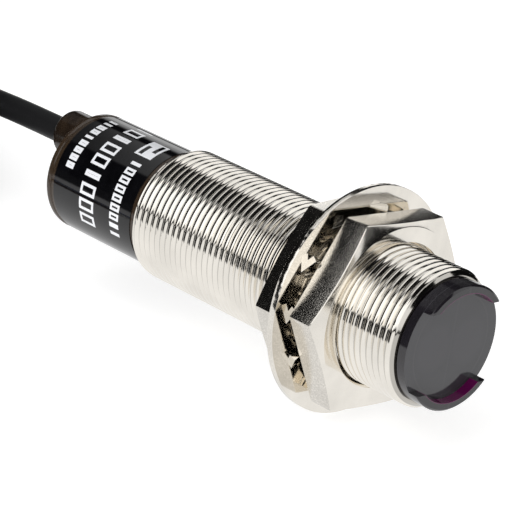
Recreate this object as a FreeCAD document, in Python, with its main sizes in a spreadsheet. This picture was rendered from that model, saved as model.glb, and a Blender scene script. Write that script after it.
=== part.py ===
import FreeCAD, Part
import math
import os
import re

import Sketcher

# Cylindrical M18 photoelectric sensor with two fixing nuts, a lock washer and a 2 m cable.
# Millimetres. The barrel's axis lies along +X, towards the lens, level above the surface that
# the lock washer's rim rests on. The origin is below the middle of the sensor, on that surface.

os.makedirs("parts", exist_ok=True)
doc = FreeCAD.newDocument("photoelectric_sensor")

# ---------------------------------------------------------------- driving dimensions
SIZES = [
    ("thread_dia", 18, "M18 thread, over the crests"),
    ("thread_pitch", 1, "M18 x 1 fine thread"),
    ("thread_depth", 0.6, "crest to root"),
    ("thread_length", 47, "threaded barrel, end to end"),
    ("thread_chamfer", 0.7, "bevel at both ends of the thread"),
    ("crest_flat", 0.2, "flat left on each crest"),
    ("barrel_bore", 14.6, "inside the barrel"),
    ("seat_dia", 15.2, "wider seats in the barrel's two mouths"),
    ("front_seat_depth", 3.2, "for the lens cap's skirt"),
    ("rear_seat_depth", 5.2, "for the rear sleeve's skirt"),
    ("fit_gap", 0.03, "radial gap between pressed or glued pieces"),
    ("face_thickness", 1.5, "lens cap's window"),
    ("cap_dia", 16.2, "lens cap, outside"),
    ("cap_bevel", 0.25, "bevel on the lens cap's rims"),
    ("skirt_length", 3, "lens cap's skirt in the barrel"),
    ("skirt_bore", 13.2, "inside the lens cap's skirt"),
    ("lug_height", 1.4, "lens cap's two lugs, beyond the window"),
    ("lug_bore", 14, "inside the lugs"),
    ("lug_start", 5.15, "height above the axis where a lug starts"),
    ("seal_cord", 0.5, "O-ring cord"),
    ("seal_slack", 0.1, "play of the O-ring along its groove"),
    ("sleeve_length", 17, "rear sleeve, between barrel and rear cap"),
    ("sleeve_dia", 16.1, "rear sleeve, outside"),
    ("sleeve_bore", 14.4, "rear sleeve, inside"),
    ("sleeve_skirt_bore", 13.6, "inside the sleeve's skirt in the barrel"),
    ("label_thickness", 0.1, "printed film round the rear sleeve"),
    ("label_rear_margin", 0.6, "bare sleeve behind the label"),
    ("label_front_margin", 0.85, "bare sleeve in front of the label"),
    ("flange_dia", 16.3, "rear cap's flange"),
    ("flange_thickness", 1.1, "rear cap's flange"),
    ("plug_length", 1.6, "rear cap's spigot in the sleeve"),
    ("boss_dia", 6.5, "cable boss on the rear cap"),
    ("boss_length", 5.6, "cable boss, beyond the flange"),
    ("boss_rise", 3.8, "cable boss, above the barrel's axis"),
    ("boss_round", 0.9, "rounded end of the cable boss"),
    ("adjuster_drop", 3.8, "sensitivity adjuster, below the barrel's axis"),
    ("adjuster_hole_dia", 3.8, "screwdriver hole in the rear cap"),
    ("adjuster_face_drop", 13, "adjuster's rear face, behind the thread"),
    ("adjuster_dia", 5.5, "adjuster's body"),
    ("adjuster_length", 3.5, "adjuster's body"),
    ("screw_stem_dia", 1.8, "sensitivity screw's stem in the adjuster"),
    ("screw_stem_length", 2.8, "sensitivity screw's stem"),
    ("screw_head_dia", 3.2, "sensitivity screw's head"),
    ("screw_head_length", 3.4, "sensitivity screw's head"),
    ("screw_clearance", 0.05, "radial gap round the stem"),
    ("screw_slot_width", 0.5, "screwdriver slot"),
    ("screw_slot_depth", 0.9, "screwdriver slot"),
    ("nut_flats", 24, "both nuts, across flats"),
    ("nut_thickness", 4, "both nuts"),
    ("nut_chamfer_dia", 23, "circle where a nut's corner bevel starts"),
    ("nut_chamfer_angle", 23, "slope of a nut's corner bevel"),
    ("nut_gap", 0.05, "radial gap from the crests to a nut's bore"),
    ("nut_countersink", 0.45, "bevel at a nut's bore"),
    ("rear_nut_at", 28.2, "rear nut's rear face, from the thread's rear end"),
    ("rear_nut_roll", 30.8, "turn of the rear nut's corner from straight up"),
    ("front_nut_at", 34.5, "front nut's rear face"),
    ("front_nut_roll", 27.8, "turn of the front nut's corner from straight up"),
    ("washer_at", 32.3, "lock washer's rear face"),
    ("washer_dia", 30, "lock washer, outside"),
    ("washer_thickness", 0.9, "lock washer"),
    ("washer_ring_bore", 23.6, "where the lock washer's teeth start"),
    ("tooth_tip_dia", 18.7, "circle that the teeth's tips reach"),
    ("tooth_width", 2.6, "one tooth"),
    ("tooth_tilt", 32, "twist of a tooth out of the washer's plane"),
    ("tooth_count", 12, "teeth round the lock washer"),
    ("board_thickness", 1, "both circuit boards"),
    ("board_rear_drop", 13, "main board's rear edge, behind the thread"),
    ("board_bottom_drop", 0.1, "main board's underside, below the axis"),
    ("front_board_at", 34, "front board's rear face"),
    ("board_width", 12, "main board"),
    ("front_board_dia", 13.6, "front board"),
    ("lens_pitch", 6.2, "between the emitter's and the receiver's axes"),
    ("lens_dia", 5.4, "the two lenses"),
    ("lens_radius", 4.2, "curve of a lens's front"),
    ("lens_thickness", 2.4, "the two lenses, in the middle"),
    ("holder_length", 9, "lens holder"),
    ("holder_dia", 14.2, "lens holder"),
    ("light_well_dia", 4.4, "holes that the light crosses in the holder"),
    ("chip_base_thickness", 0.8, "base of the emitter and of the receiver"),
    ("emitter_base_dia", 3.8, "infrared emitter's base"),
    ("emitter_dia", 3, "infrared emitter's domed body"),
    ("emitter_height", 4.6, "infrared emitter, base and dome"),
    ("receiver_base_dia", 4, "photodiode's base"),
    ("receiver_dia", 2.4, "photodiode's domed body"),
    ("receiver_height", 2.6, "photodiode, base and dome"),
    ("cable_dia", 3.6, "cable jacket"),
    ("cable_rise", 3.5, "cable, above the barrel's axis"),
    ("cable_length", 2000, "cable, from the boss to the wire ends"),
    ("cable_inset", 1, "where the free cable starts inside the boss"),
    ("jacket_end_drop", 12, "jacket's inner end, behind the thread"),
    ("clamp_length", 2.7, "crimped ring on the jacket"),
    ("clamp_thickness", 0.7, "crimped ring on the jacket"),
    ("core_dia", 1.2, "one insulated core of the cable"),
    ("core_spread", 1.3, "between cores inside the jacket"),
    ("core_length", 26, "one core, from the jacket's end to its bare strands"),
    ("core_lift", 0.02, "gap under a core that lies on the surface"),
    ("outer_lane", 3.2, "brown and blue core, from the middle of the four"),
    ("inner_lane", 1.0, "black and white core, from the middle of the four"),
    ("strand_dia", 0.7, "tinned end of a core"),
    ("strand_length", 5, "tinned end of a core"),
    ("tail_length", 10, "jacket between the coil and the bare cores"),
    ("tail_turn_out", 0.8, "how far the jacket's end turns away from the coil"),
    ("coil_x", -82, "middle of the put-away coil"),
    ("coil_y", -12.3, "middle of the put-away coil"),
    ("coil_entry_angle", 60, "where the cable meets the coil, from +X towards +Y"),
    ("coil_layers", 4, "turns one above the other in the coil"),
    ("coil_turns_per_layer", 4.14583, "turns in a layer, with the step to the next"),
    ("coil_step", 0.25, "part of a turn that a step between layers takes"),
    ("coil_mean_dia", 37, "middle of the coil's turns"),
    ("coil_bevel", 1.05, "rounding of the coil's section"),
    ("tie_thickness", 0.8, "strap round the coil"),
    ("tie_width", 4, "strap round the coil"),
]

ALIASES = {alias for alias, number, note in SIZES}

sheet = doc.addObject("Spreadsheet::Sheet", "Sizes")
for row, (alias, number, note) in enumerate(SIZES, start=1):
    sheet.set(f"A{row}", alias)
    sheet.set(f"B{row}", str(number))
    sheet.set(f"C{row}", note)
    sheet.setAlias(f"B{row}", alias)
doc.recompute()

# Formulas over the sheet's cells. Lengths along the barrel start at the thread's rear end.
OVERALL = ("(boss_length + flange_thickness + sleeve_length + thread_length"
           " + face_thickness + lug_height)")
DATUM_X = f"(boss_length + flange_thickness + sleeve_length - {OVERALL} / 2)"
AXIS_Z = "washer_dia / 2"
CREST_R = "thread_dia / 2"
ROOT_R = "(thread_dia / 2 - thread_depth)"
FLANGE_REAR = "(-sleeve_length - flange_thickness)"
BOSS_REAR = "(-sleeve_length - flange_thickness - boss_length)"
BOARD_BOTTOM = "(-board_bottom_drop)"
BOARD_TOP = "(board_thickness - board_bottom_drop)"
HOLDER_AT = "(front_board_at + board_thickness)"
CABLE_Z = f"({AXIS_Z} + cable_rise)"
JACKET_HOLE_DIA = "(cable_dia + 2 * fit_gap)"
COIL_HALF_WIDTH = "((coil_turns_per_layer - coil_step) * cable_dia / 2)"
COIL_ENTRY_R = f"(coil_mean_dia / 2 + {COIL_HALF_WIDTH})"
COIL_OUTER_R = f"({COIL_ENTRY_R} + cable_dia / 2)"
COIL_INNER_R = f"(coil_mean_dia / 2 - {COIL_HALF_WIDTH} - cable_dia / 2)"
COIL_TOP = "(coil_layers * cable_dia + tie_thickness)"


def cells(formula):
    """The same formula with each alias written as a cell of the sheet."""
    return re.sub(r"[a-z_][a-z_0-9]*", lambda word: "Sizes." + word[0] if word[0] in ALIASES
                  else word[0], formula)


def value(formula):
    """The number that a formula gives with the sheet as it is now."""
    return float(sheet.evalExpression(cells(formula)))


def bind(thing, **formulas):
    """Bind properties to formulas, such as Length or Radius."""
    for name, formula in formulas.items():
        thing.setExpression(name, cells(formula))


def place(thing, x=DATUM_X, y="0", z=AXIS_Z, roll=None):
    """Bind where a sub-part stands; roll turns it about the barrel's axis, in degrees."""
    if roll is not None:
        turned = FreeCAD.Rotation(FreeCAD.Vector(1, 0, 0), value(roll))
        thing.Placement = FreeCAD.Placement(FreeCAD.Vector(), turned)
        thing.setExpression("Placement.Rotation.Angle", cells(roll))
    for direction, formula in zip("xyz", (x, y, z)):
        thing.setExpression(f"Placement.Base.{direction}", cells(formula))
    return thing


def lay_along_barrel(thing):
    """Turn a primitive that stands along +Z so that it lies along +X."""
    thing.Placement = FreeCAD.Placement(FreeCAD.Vector(), FreeCAD.Rotation(FreeCAD.Vector(0, 1, 0), 90))


# ---------------------------------------------------------------- PartDesign helpers
def new_body(label):
    body = doc.addObject("PartDesign::Body", label)
    body.Label = label
    return body


def origin_feature(body, role):
    return next(item for item in body.Origin.OriginFeatures if item.Role == role)


def new_sketch(body, plane, lift="0", up="0"):
    """Sketch on an origin plane, lifted off it along its normal and moved up in it."""
    drawing = body.newObject("Sketcher::SketchObject", f"{body.Label}_sketch")
    drawing.AttachmentSupport = [(origin_feature(body, plane), "")]
    drawing.MapMode = "FlatFace"
    drawing.setExpression("AttachmentOffset.Base.z", cells(lift))
    drawing.setExpression("AttachmentOffset.Base.y", cells(up))
    return drawing


def measure(drawing, kind, geometry, point, formula):
    """Distance from the sketch's origin to a point, bound to a formula."""
    limit = Sketcher.Constraint(kind, -1, 1, geometry, point, value(formula))
    drawing.setExpression(f"Constraints[{drawing.addConstraint(limit)}]", cells(formula))


def draw_outline(drawing, corners):
    """Closed loop of lines; each corner is a pair of formulas, right and up."""
    first = drawing.GeometryCount
    count = len(corners)
    spots = [FreeCAD.Vector(value(right), value(up), 0) for right, up in corners]
    for index in range(count):
        line = Part.LineSegment(spots[index], spots[(index + 1) % count])
        drawing.addGeometry(line)
    for index in range(count):
        following = first + (index + 1) % count
        drawing.addConstraint(Sketcher.Constraint("Coincident", first + index, 2, following, 1))
    for index, (right, up) in enumerate(corners):
        measure(drawing, "DistanceX", first + index, 1, right)
        measure(drawing, "DistanceY", first + index, 1, up)


def draw_circle(drawing, radius, right="0", up="0"):
    centre = FreeCAD.Vector(value(right), value(up), 0)
    circle = Part.Circle(centre, FreeCAD.Vector(0, 0, 1), value(radius))
    number = drawing.addGeometry(circle)
    limit = drawing.addConstraint(Sketcher.Constraint("Radius", number, value(radius)))
    drawing.setExpression(f"Constraints[{limit}]", cells(radius))
    measure(drawing, "DistanceX", number, 3, right)
    measure(drawing, "DistanceY", number, 3, up)


def turn_outline(body, *outlines, kind="Revolution", axis="H_Axis", up="0"):
    """Turn outlines about the barrel's direction, or about a line moved up from it."""
    drawing = new_sketch(body, "XZ_Plane", up=up)
    for corners in outlines:
        draw_outline(drawing, corners)
    feature = body.newObject(f"PartDesign::{kind}", f"{body.Label}_{kind.lower()}")
    feature.Profile = drawing
    feature.ReferenceAxis = (drawing, [axis])
    feature.Angle = 360
    return feature


def extrude(body, drawing, length, kind="Pad", backwards=False):
    feature = body.newObject(f"PartDesign::{kind}", f"{body.Label}_{kind.lower()}")
    feature.Profile = drawing
    feature.Reversed = backwards
    bind(feature, Length=length)
    return feature


def edge_names(feature, wanted):
    """Names of the edges of a feature that a test picks."""
    return [f"Edge{number}" for number, edge in enumerate(feature.Shape.Edges, start=1)
            if wanted(edge)]


def tube_outline(start, end, inner, outer):
    """Section of a plain tube between two places along the axis."""
    return [(start, inner), (end, inner), (end, outer), (start, outer)]


def cut_changes(body, before, what):
    """A cut that points away from its solid removes nothing, which no state shows."""
    doc.recompute()
    if not body.Shape.Volume < before:
        raise SystemExit(f"{body.Label}: {what} cuts nothing")


# ---------------------------------------------------------------- barrel and nuts
def make_barrel():
    """Nickel-plated brass barrel. Its thread is rings of the thread's own section."""
    body = new_body("housing_barrel")
    seat_r = "seat_dia / 2"
    bore_r = "barrel_bore / 2"
    turn_outline(body, [
        ("0", seat_r),
        ("rear_seat_depth", seat_r),
        ("rear_seat_depth", bore_r),
        ("thread_length - front_seat_depth", bore_r),
        ("thread_length - front_seat_depth", seat_r),
        ("thread_length", seat_r),
        ("thread_length", f"{CREST_R} - thread_chamfer"),
        ("thread_length - thread_chamfer", CREST_R),
        ("thread_chamfer", CREST_R),
        ("0", f"{CREST_R} - thread_chamfer"),
    ])
    doc.recompute()
    plain = body.Shape.Volume
    ring = turn_outline(body, [
        ("thread_pitch - (thread_pitch - crest_flat) / 2", f"{CREST_R} + crest_flat"),
        ("thread_pitch - (thread_pitch - crest_flat) / 2", CREST_R),
        ("thread_pitch - crest_flat / 2", ROOT_R),
        ("thread_pitch + crest_flat / 2", ROOT_R),
        ("thread_pitch + (thread_pitch - crest_flat) / 2", CREST_R),
        ("thread_pitch + (thread_pitch - crest_flat) / 2", f"{CREST_R} + crest_flat"),
    ], kind="Groove")
    rings = body.newObject("PartDesign::LinearPattern", "thread_rings")
    rings.Originals = [ring]
    rings.Direction = (origin_feature(body, "X_Axis"), [""])
    bind(rings, Length="thread_length - 2 * thread_pitch",
         Occurrences="thread_length / thread_pitch - 1")
    body.Tip = rings
    cut_changes(body, plain, "thread")
    return place(body)


def make_nut(label, station, roll, bevel_front):
    """Hexagon nut with one bevelled side. Its bore clears the thread's crests."""
    body = new_body(label)
    drawing = new_sketch(body, "YZ_Plane")
    corner = "nut_flats / 2 / cos(30)"
    draw_outline(drawing, [(f"{corner} * sin({60 * side})", f"{corner} * cos({60 * side})")
                           for side in range(6)])
    bore_r = f"({CREST_R} + nut_gap)"
    draw_circle(drawing, bore_r)
    extrude(body, drawing, "nut_thickness")
    doc.recompute()
    before = body.Shape.Volume
    outside = f"({corner} + 1)"
    drop = f"({outside} - nut_chamfer_dia / 2) * tan(nut_chamfer_angle)"
    bevel = [("nut_thickness", "nut_chamfer_dia / 2"), ("nut_thickness", outside),
             (f"nut_thickness - {drop}", outside)]
    if not bevel_front:
        bevel = [("0", "nut_chamfer_dia / 2"), ("0", outside), (drop, outside)]
    front_sink = [("nut_thickness", f"{bore_r} - 0.1"), ("nut_thickness", f"{bore_r} + nut_countersink"),
                  ("nut_thickness - nut_countersink - 0.1", f"{bore_r} - 0.1")]
    rear_sink = [("0", f"{bore_r} - 0.1"), ("nut_countersink + 0.1", f"{bore_r} - 0.1"),
                 ("0", f"{bore_r} + nut_countersink")]
    turn_outline(body, bevel, front_sink, rear_sink, kind="Groove")
    cut_changes(body, before, "bevel")
    return place(body, x=f"{DATUM_X} + {station}", roll=roll)


def make_lock_washer():
    """Internal-tooth lock washer: a flat ring with twisted teeth that reach for the thread."""
    body = new_body("lock_washer")
    drawing = new_sketch(body, "YZ_Plane")
    draw_circle(drawing, "washer_dia / 2")
    draw_circle(drawing, "washer_ring_bore / 2")
    extrude(body, drawing, "washer_thickness")
    # A tooth's section, seen from the rim: a bar tilted about its own length, level with the
    # ring's rear face at its lowest corner.
    half_width = "tooth_width / 2"
    half_thickness = "washer_thickness / 2"
    middle = f"({half_width} * sin(tooth_tilt) + {half_thickness} * cos(tooth_tilt))"
    tooth = new_sketch(body, "XY_Plane", lift="tooth_tip_dia / 2")
    draw_outline(tooth, [
        (f"{middle} + {u} * {half_width} * sin(tooth_tilt) + {v} * {half_thickness} * cos(tooth_tilt)",
         f"{u} * {half_width} * cos(tooth_tilt) - {v} * {half_thickness} * sin(tooth_tilt)")
        for u, v in (("1", "1"), ("1", "-1"), ("-1", "-1"), ("-1", "1"))])
    bar = extrude(body, tooth, "(washer_ring_bore - tooth_tip_dia) / 2 + washer_thickness")
    teeth = body.newObject("PartDesign::PolarPattern", "teeth")
    teeth.Originals = [bar]
    teeth.Axis = (origin_feature(body, "X_Axis"), [""])
    teeth.Angle = 360
    bind(teeth, Occurrences="tooth_count")
    body.Tip = teeth
    return place(body, x=f"{DATUM_X} + washer_at")


# ---------------------------------------------------------------- front end and optics
def make_lens_cap():
    """Lens cap of dark infrared-pass plastic: skirt, window and two lugs above and below."""
    body = new_body("lens_cap")
    face = "(thread_length + face_thickness)"
    tip = "(thread_length + face_thickness + lug_height)"
    rim = "cap_dia / 2"
    groove_r = "(seat_dia / 2 - fit_gap - seal_cord)"
    groove_rear = "(thread_length - (skirt_length + seal_cord + seal_slack) / 2)"
    groove_front = "(thread_length - (skirt_length - seal_cord - seal_slack) / 2)"
    skirt_r = "(seat_dia / 2 - fit_gap)"
    turn_outline(body, [
        ("thread_length - skirt_length", "skirt_bore / 2"),
        ("thread_length", "skirt_bore / 2"),
        ("thread_length", "0"),
        (face, "0"),
        (face, "lug_bore / 2"),
        (tip, "lug_bore / 2"),
        (tip, f"{rim} - cap_bevel"),
        (f"{tip} - cap_bevel", rim),
        ("thread_length + fit_gap + cap_bevel", rim),
        ("thread_length + fit_gap", f"{rim} - cap_bevel"),
        ("thread_length + fit_gap", skirt_r),
        (groove_front, skirt_r),
        (groove_front, groove_r),
        (groove_rear, groove_r),
        (groove_rear, skirt_r),
        ("thread_length - skirt_length", skirt_r),
    ])
    doc.recompute()
    before = body.Shape.Volume
    notch = new_sketch(body, "YZ_Plane", lift=face)
    draw_outline(notch, [("cap_dia", "lug_start"), ("-cap_dia", "lug_start"),
                         ("-cap_dia", "-lug_start"), ("cap_dia", "-lug_start")])
    extrude(body, notch, "lug_height + 1", kind="Pocket", backwards=True)
    cut_changes(body, before, "gap between the lugs")
    return place(body)


def make_lens_cap_seal():
    """O-ring in the lens cap's skirt, squeezed flush with the barrel's seat."""
    seal = doc.addObject("Part::Torus", "lens_cap_seal")
    bind(seal, Radius1="seat_dia / 2 - fit_gap - seal_cord / 2", Radius2="seal_cord / 2")
    lay_along_barrel(seal)
    return place(seal, x=f"{DATUM_X} + thread_length - skirt_length / 2")


def make_lens_holder():
    """Opaque holder. Its two stepped wells keep the emitter's light from the receiver."""
    body = new_body("lens_holder")
    turn_outline(body, tube_outline("0", "holder_length", "0", "holder_dia / 2"))
    doc.recompute()
    before = body.Shape.Volume
    for side in ("-1", "1"):
        well = new_sketch(body, "YZ_Plane")
        draw_circle(well, "light_well_dia / 2", right=f"{side} * lens_pitch / 2")
        extrude(body, well, "holder_length + 1", kind="Pocket", backwards=True)
        seat = new_sketch(body, "YZ_Plane", lift="holder_length - lens_thickness")
        draw_circle(seat, "lens_dia / 2 + fit_gap", right=f"{side} * lens_pitch / 2")
        extrude(body, seat, "lens_thickness + 1", kind="Pocket", backwards=True)
    cut_changes(body, before, "light wells")
    return place(body, x=f"{DATUM_X} + {HOLDER_AT}")


def make_lens(label, side):
    """Flat-backed lens: the part of a ball that a rod of the lens's size shares with it."""
    rod = doc.addObject("Part::Cylinder", f"{label}_rod")
    bind(rod, Radius="lens_dia / 2", Height="lens_thickness")
    ball = doc.addObject("Part::Sphere", f"{label}_ball")
    bind(ball, Radius="lens_radius")
    ball.setExpression("Placement.Base.z", cells("lens_thickness - lens_radius"))
    lens = doc.addObject("Part::Common", label)
    lens.Base = rod
    lens.Tool = ball
    lay_along_barrel(lens)
    return place(lens, x=f"{DATUM_X} + {HOLDER_AT} + holder_length - lens_thickness",
                 y=f"{side} * lens_pitch / 2")


def make_domed_chip(label, side, base_dia, dome_dia, height):
    """Light emitter or detector: a round base and a narrower body with a dome, in a well."""
    base = doc.addObject("Part::Cylinder", f"{label}_base")
    bind(base, Radius=f"{base_dia} / 2", Height="chip_base_thickness")
    stem = doc.addObject("Part::Cylinder", f"{label}_stem")
    bind(stem, Radius=f"{dome_dia} / 2", Height=f"{height} - {dome_dia} / 2")
    dome = doc.addObject("Part::Sphere", f"{label}_dome")
    bind(dome, Radius=f"{dome_dia} / 2")
    dome.setExpression("Placement.Base.z", cells(f"{height} - {dome_dia} / 2"))
    chip = doc.addObject("Part::MultiFuse", label)
    chip.Shapes = [base, stem, dome]
    lay_along_barrel(chip)
    return place(chip, x=f"{DATUM_X} + {HOLDER_AT}", y=f"{side} * lens_pitch / 2")


# ---------------------------------------------------------------- boards and components
def make_block(label, length, width, height, x, y, z):
    """Rectangular piece, placed by its lowest corner."""
    block = doc.addObject("Part::Box", label)
    bind(block, Length=length, Width=width, Height=height)
    return place(block, x=f"{DATUM_X} + {x}", y=y, z=f"{AXIS_Z} + {z}")


def make_group(label, blocks):
    """Equal small parts on a board, kept as separate solids of one node."""
    group = doc.addObject("Part::Compound", label)
    group.Links = blocks
    return group


def make_front_board():
    """Round board behind the lens holder."""
    board = doc.addObject("Part::Cylinder", "front_board")
    bind(board, Radius="front_board_dia / 2", Height="board_thickness")
    lay_along_barrel(board)
    return place(board, x=f"{DATUM_X} + front_board_at")


def make_main_board():
    """Long board from the adjuster to the front board."""
    return make_block("main_board", "front_board_at + board_rear_drop", "board_width",
                      "board_thickness", "-board_rear_drop", "-board_width / 2", BOARD_BOTTOM)


def make_controller():
    """Signal chip in a small-outline package with eight legs a side."""
    length, width, leg = "10", "3.9", "0.42"
    blocks = [make_block("controller_case", length, width, "1.4", "12", f"-{width} / 2",
                         f"{BOARD_TOP} + 0.1")]
    for number in range(8):
        for side, y in (("left", f"-{width} / 2 - 1"), ("right", f"{width} / 2")):
            along = f"12 + 0.35 + {number} * 1.27"
            blocks.append(make_block(f"controller_leg_{side}_{number}", leg, "1", "0.25", along, y,
                                     BOARD_TOP))
    return make_group("controller_chip", blocks)


def make_row(label, count, spacing, size, start, y, under=False):
    """Row of equal chips along the board, on its top or under it."""
    z = f"{BOARD_BOTTOM} - {size[2]}" if under else BOARD_TOP
    return make_group(label, [
        make_block(f"{label}_{number}", size[0], size[1], size[2], f"{start} + {number} * {spacing}", y, z)
        for number in range(count)])


# ---------------------------------------------------------------- rear end
def make_rear_sleeve():
    """Smoky plastic sleeve behind the thread, glued into the barrel by its skirt."""
    body = new_body("rear_sleeve")
    skirt_r = "seat_dia / 2 - fit_gap"
    turn_outline(body, [
        ("-sleeve_length + fit_gap", "sleeve_bore / 2"),
        ("-1", "sleeve_bore / 2"),
        ("-1", "sleeve_skirt_bore / 2"),
        ("rear_seat_depth - 2 * fit_gap", "sleeve_skirt_bore / 2"),
        ("rear_seat_depth - 2 * fit_gap", skirt_r),
        ("-fit_gap", skirt_r),
        ("-fit_gap", "sleeve_dia / 2"),
        ("-sleeve_length + fit_gap", "sleeve_dia / 2"),
    ])
    return place(body)


def make_label_sleeve():
    """Printed film wrapped round the rear sleeve."""
    body = new_body("label_sleeve")
    turn_outline(body, tube_outline("-sleeve_length + label_rear_margin", "-label_front_margin",
                                    "sleeve_dia / 2", "sleeve_dia / 2 + label_thickness"))
    return place(body)


def make_rear_cap():
    """Smoky rear cap: flange, spigot, cable boss above the axis and adjuster hole below it."""
    body = new_body("rear_cap")
    turn_outline(body, [
        (FLANGE_REAR, "0"),
        ("-sleeve_length + plug_length", "0"),
        ("-sleeve_length + plug_length", "sleeve_bore / 2 - fit_gap"),
        ("-sleeve_length", "sleeve_bore / 2 - fit_gap"),
        ("-sleeve_length", "flange_dia / 2"),
        (f"{FLANGE_REAR} + 0.3", "flange_dia / 2"),
        (FLANGE_REAR, "flange_dia / 2 - 0.3"),
    ])
    boss = new_sketch(body, "YZ_Plane", lift=FLANGE_REAR)
    draw_circle(boss, "boss_dia / 2", up="boss_rise")
    pad = extrude(body, boss, "boss_length", backwards=True)
    doc.recompute()
    rear = value(BOSS_REAR)
    rounding = body.newObject("PartDesign::Fillet", "boss_rounding")
    rounding.Base = (pad, edge_names(pad, lambda edge: abs(edge.BoundBox.XMax - rear) < 0.01))
    bind(rounding, Radius="boss_round")
    doc.recompute()
    before = body.Shape.Volume
    passage = new_sketch(body, "YZ_Plane", lift=BOSS_REAR)
    draw_circle(passage, f"{JACKET_HOLE_DIA} / 2", up="cable_rise")
    extrude(body, passage, "boss_length + flange_thickness + plug_length + 1", kind="Pocket",
            backwards=True)
    hole = new_sketch(body, "YZ_Plane", lift=FLANGE_REAR)
    draw_circle(hole, "adjuster_hole_dia / 2", up="-adjuster_drop")
    extrude(body, hole, "flange_thickness + plug_length + 1", kind="Pocket", backwards=True)
    cut_changes(body, before, "cable passage and adjuster hole")
    return place(body)


def make_adjuster_body():
    """Trimmer that the sensitivity screw turns in."""
    body = new_body("adjuster_body")
    turn_outline(body, tube_outline("0", "adjuster_length", "screw_stem_dia / 2 + screw_clearance",
                                    "adjuster_dia / 2"))
    return place(body, x=f"{DATUM_X} - adjuster_face_drop", z=f"{AXIS_Z} - adjuster_drop")


def make_adjuster_rotor():
    """Sensitivity screw: a stem in the trimmer and a slotted head in the rear cap's hole."""
    body = new_body("adjuster_rotor")
    bevel = "screw_head_dia / 16"
    turn_outline(body, [
        ("-screw_head_length", "0"),
        ("screw_stem_length", "0"),
        ("screw_stem_length", "screw_stem_dia / 2"),
        ("-screw_clearance", "screw_stem_dia / 2"),
        ("-screw_clearance", "screw_head_dia / 2"),
        (f"-screw_head_length + {bevel}", "screw_head_dia / 2"),
        ("-screw_head_length", f"screw_head_dia / 2 - {bevel}"),
    ])
    doc.recompute()
    before = body.Shape.Volume
    slot = new_sketch(body, "YZ_Plane", lift="-screw_head_length")
    draw_outline(slot, [("-screw_slot_width / 2", "-screw_head_dia"),
                        ("screw_slot_width / 2", "-screw_head_dia"),
                        ("screw_slot_width / 2", "screw_head_dia"),
                        ("-screw_slot_width / 2", "screw_head_dia")])
    extrude(body, slot, "screw_slot_depth", kind="Pocket", backwards=True)
    cut_changes(body, before, "screwdriver slot")
    return place(body, x=f"{DATUM_X} - adjuster_face_drop", z=f"{AXIS_Z} - adjuster_drop")


def make_cable_clamp():
    """Crimped ring on the jacket, inside the rear cap, that takes the pull on the cable."""
    body = new_body("cable_clamp")
    turn_outline(body, tube_outline("-sleeve_length + plug_length + fit_gap",
                                    "-sleeve_length + plug_length + clamp_length",
                                    "cable_dia / 2 + fit_gap",
                                    "cable_dia / 2 + clamp_thickness"))
    return place(body, z=CABLE_Z)


# ---------------------------------------------------------------- cable
ARC_SHARE = 0.45


def rounded_path(points):
    """Straight runs joined by tangent arcs, each as large as its two runs allow."""
    edges = []
    radii = []
    start = points[0]
    for before, corner, after in zip(points, points[1:], points[2:]):
        arriving = corner - before
        leaving = after - corner
        turn = arriving.getAngle(leaving)
        reach = ARC_SHARE * min(arriving.Length, leaving.Length)
        radius = reach / math.tan(turn / 2)
        arriving.normalize()
        leaving.normalize()
        inward = (leaving - arriving).normalize()
        arc_start = corner - arriving * reach
        arc_end = corner + leaving * reach
        arc_middle = corner + inward * (radius / math.cos(turn / 2) - radius)
        edges.append(Part.LineSegment(start, arc_start).toShape())
        edges.append(Part.Arc(arc_start, arc_middle, arc_end).toShape())
        radii.append(radius)
        start = arc_end
    edges.append(Part.LineSegment(start, points[-1]).toShape())
    return Part.Wire(edges), radii


def make_tube(label, places, diameter):
    """Round cord along a route; prints its bend radii and checks its volume."""
    points = [FreeCAD.Vector(*place_) for place_ in places]
    path, radii = rounded_path(points)
    radius = value(diameter) / 2
    ring = Part.Wire(Part.Circle(points[0], points[1] - points[0], radius).toShape())
    tube = doc.addObject("Part::Feature", label)
    tube.Shape = path.makePipeShell([ring], True, True)
    expected = math.pi * radius ** 2 * path.Length
    if abs(tube.Shape.Volume / expected - 1) > 0.01:
        raise SystemExit(f"{label}: volume {tube.Shape.Volume:.1f}, expected {expected:.1f}")
    print(f"{label}: length {path.Length:.1f}, radii", " ".join(f"{r:.1f}" for r in radii))
    return tube, path.Length


def make_jacket_inside():
    """The cable's jacket through the boss and the clamp, up to where its cores come out."""
    rod = doc.addObject("Part::Cylinder", "cable_inside")
    bind(rod, Radius="cable_dia / 2", Height=f"-jacket_end_drop - {BOSS_REAR} - cable_inset")
    lay_along_barrel(rod)
    return place(rod, x=f"{DATUM_X} + {BOSS_REAR} + cable_inset", z=CABLE_Z)


CORES = (("brown", 1, 1), ("blue", -1, 1), ("black", 1, -1), ("white", -1, -1))


def make_inside_lead(colour, side, up):
    """One core from the jacket's inner end down to the main board."""
    x = value(f"{DATUM_X} - jacket_end_drop")
    z = value(CABLE_Z)
    spread = value("core_spread / 2")
    pad_y = side * (2.9 if up > 0 else 1.1)
    pad_x = x + (7.4 if up > 0 else 5.6)
    board = value(f"{AXIS_Z} + {BOARD_TOP}")
    route = [(x, side * spread, z + up * spread),
             (x + 1.8, side * spread, z + up * spread),
             (pad_x - 1.6, (pad_y + side * spread) / 2, z - 0.9 + up * 0.6),
             (pad_x - 0.2, pad_y, board + 1.2),
             (pad_x, pad_y, board + 0.1)]
    return make_tube(f"lead_{colour}", route, "core_dia")[0]


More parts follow.
